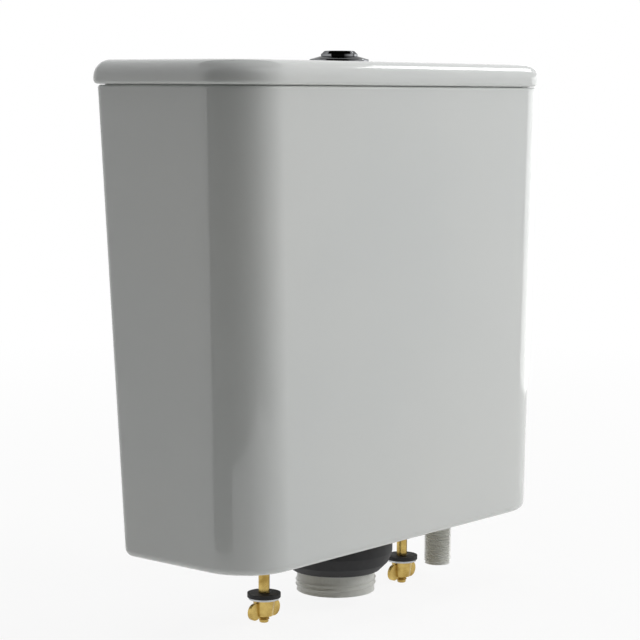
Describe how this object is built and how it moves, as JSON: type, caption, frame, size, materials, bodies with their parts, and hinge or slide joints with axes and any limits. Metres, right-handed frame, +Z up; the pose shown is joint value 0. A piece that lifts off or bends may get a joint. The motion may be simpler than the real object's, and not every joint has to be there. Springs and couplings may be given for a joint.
{
  "type": "toilet cistern",
  "caption": "Close-coupled white china toilet cistern with a lift-off lid, split chrome push button, lever-lifted flush valve, cup-float fill valve and pan fixings.",
  "frame": {"origin": "on the outlet axis, at the plane of the tank's underside that rests on the pan shelf", "axes": "+Z up along the outlet and button axis, +Y towards the wall, front towards -Y, +X to the right seen from the front"},
  "size_m": [0.365, 0.144, 0.4061],
  "materials": {
    "china": "glossy white glaze",
    "chrome": "polished chrome plate",
    "white_plastic": "moulded, satin",
    "grey_plastic": "moulded, fine grain",
    "blue_plastic": "moulded, fine grain",
    "rubber": "matt",
    "steel": "plain stainless",
    "brass": "turned"
  },
  "bodies": {
    "tank_body": {"tank": "china", "valve_base": "white_plastic", "base_washer": "rubber", "base_backnut": "white_plastic", "doughnut_seal": "rubber", "valve_tower": "white_plastic", "lever_bridge": "blue_plastic", "pivot_pins": "steel", "inlet_shank": "white_plastic", "shank_washer": "rubber", "shank_backnut": "white_plastic", "inlet_filter": "blue_plastic", "riser_lock": "blue_plastic", "upper_riser": "white_plastic", "valve_head": "white_plastic", "diaphragm": "rubber", "head_cap": "white_plastic", "coupling_bolts": "brass", "bolt_rubbers": "rubber", "bolt_washers": "steel", "bolt_nuts": "brass", "wing_nuts": "brass"},
    "lid_body": {"lid": "china", "button_bezel": "chrome", "bezel_gasket": "rubber", "bezel_nut": "white_plastic", "full_button_spring": "steel", "half_button_spring": "steel"},
    "full_button_body": {"full_button": "chrome", "full_push_rod": "white_plastic"},
    "half_button_body": {"half_button": "chrome", "half_push_rod": "white_plastic"},
    "full_lever_body": {"full_lever": "grey_plastic"},
    "half_lever_body": {"half_lever": "grey_plastic"},
    "stem_body": {"overflow_stem": "white_plastic", "seal_carrier": "white_plastic", "flush_seal": "rubber", "seal_clamp": "white_plastic", "stem_float": "blue_plastic"},
    "half_rod_body": {"half_lift_rod": "grey_plastic", "half_float": "blue_plastic"},
    "float_body": {"float_cup": "grey_plastic", "float_rod": "white_plastic"},
    "arm_body": {"float_arm": "grey_plastic"}
  },
  "joints": [
    {"name": "lid_lift", "type": "slide", "parent": "tank_body", "child": "lid_body", "axis": [0, 0, 1], "range_m": [0, 0.12]},
    {"name": "full_button_press", "type": "slide", "parent": "lid_body", "child": "full_button_body", "axis": [0, 0, -1], "range_m": [0, 0.007], "stiffness_N_per_m": 300, "springref_m": -0.01, "deforming": ["full_button_spring"]},
    {"name": "half_button_press", "type": "slide", "parent": "lid_body", "child": "half_button_body", "axis": [0, 0, -1], "range_m": [0, 0.007], "stiffness_N_per_m": 300, "springref_m": -0.01, "deforming": ["half_button_spring"]},
    {"name": "full_lever_turn", "type": "hinge", "parent": "tank_body", "child": "full_lever_body", "pos_m": [0.0225, 0, 0.262], "axis": [0, -1, 0], "range_deg": [0, 30]},
    {"name": "stem_lift", "type": "slide", "parent": "tank_body", "child": "stem_body", "axis": [0, 0, 1], "range_m": [0, 0.01]},
    {"name": "half_lever_turn", "type": "hinge", "parent": "tank_body", "child": "half_lever_body", "pos_m": [-0.0225, 0, 0.262], "axis": [0, 1, 0], "range_deg": [0, 30]},
    {"name": "half_rod_lift", "type": "slide", "parent": "tank_body", "child": "half_rod_body", "axis": [0, 0, 1], "range_m": [0, 0.01]},
    {"name": "float_rise", "type": "slide", "parent": "tank_body", "child": "float_body", "axis": [0, 0, 1], "range_m": [0, 0.015]},
    {"name": "float_arm_turn", "type": "hinge", "parent": "tank_body", "child": "arm_body", "pos_m": [0.118, -0.006, 0.232], "axis": [0, 1, 0], "range_deg": [0, 21.54]}
  ],
  "couplings": [
    {"joint": "full_lever_turn", "follows": "full_button_press", "rad_per_m": 74.79},
    {"joint": "stem_lift", "follows": "full_button_press", "ratio": 1.428},
    {"joint": "half_lever_turn", "follows": "half_button_press", "rad_per_m": 74.79},
    {"joint": "half_rod_lift", "follows": "half_button_press", "ratio": 1.428},
    {"joint": "float_arm_turn", "follows": "float_rise", "rad_per_m": 25.06}
  ]
}
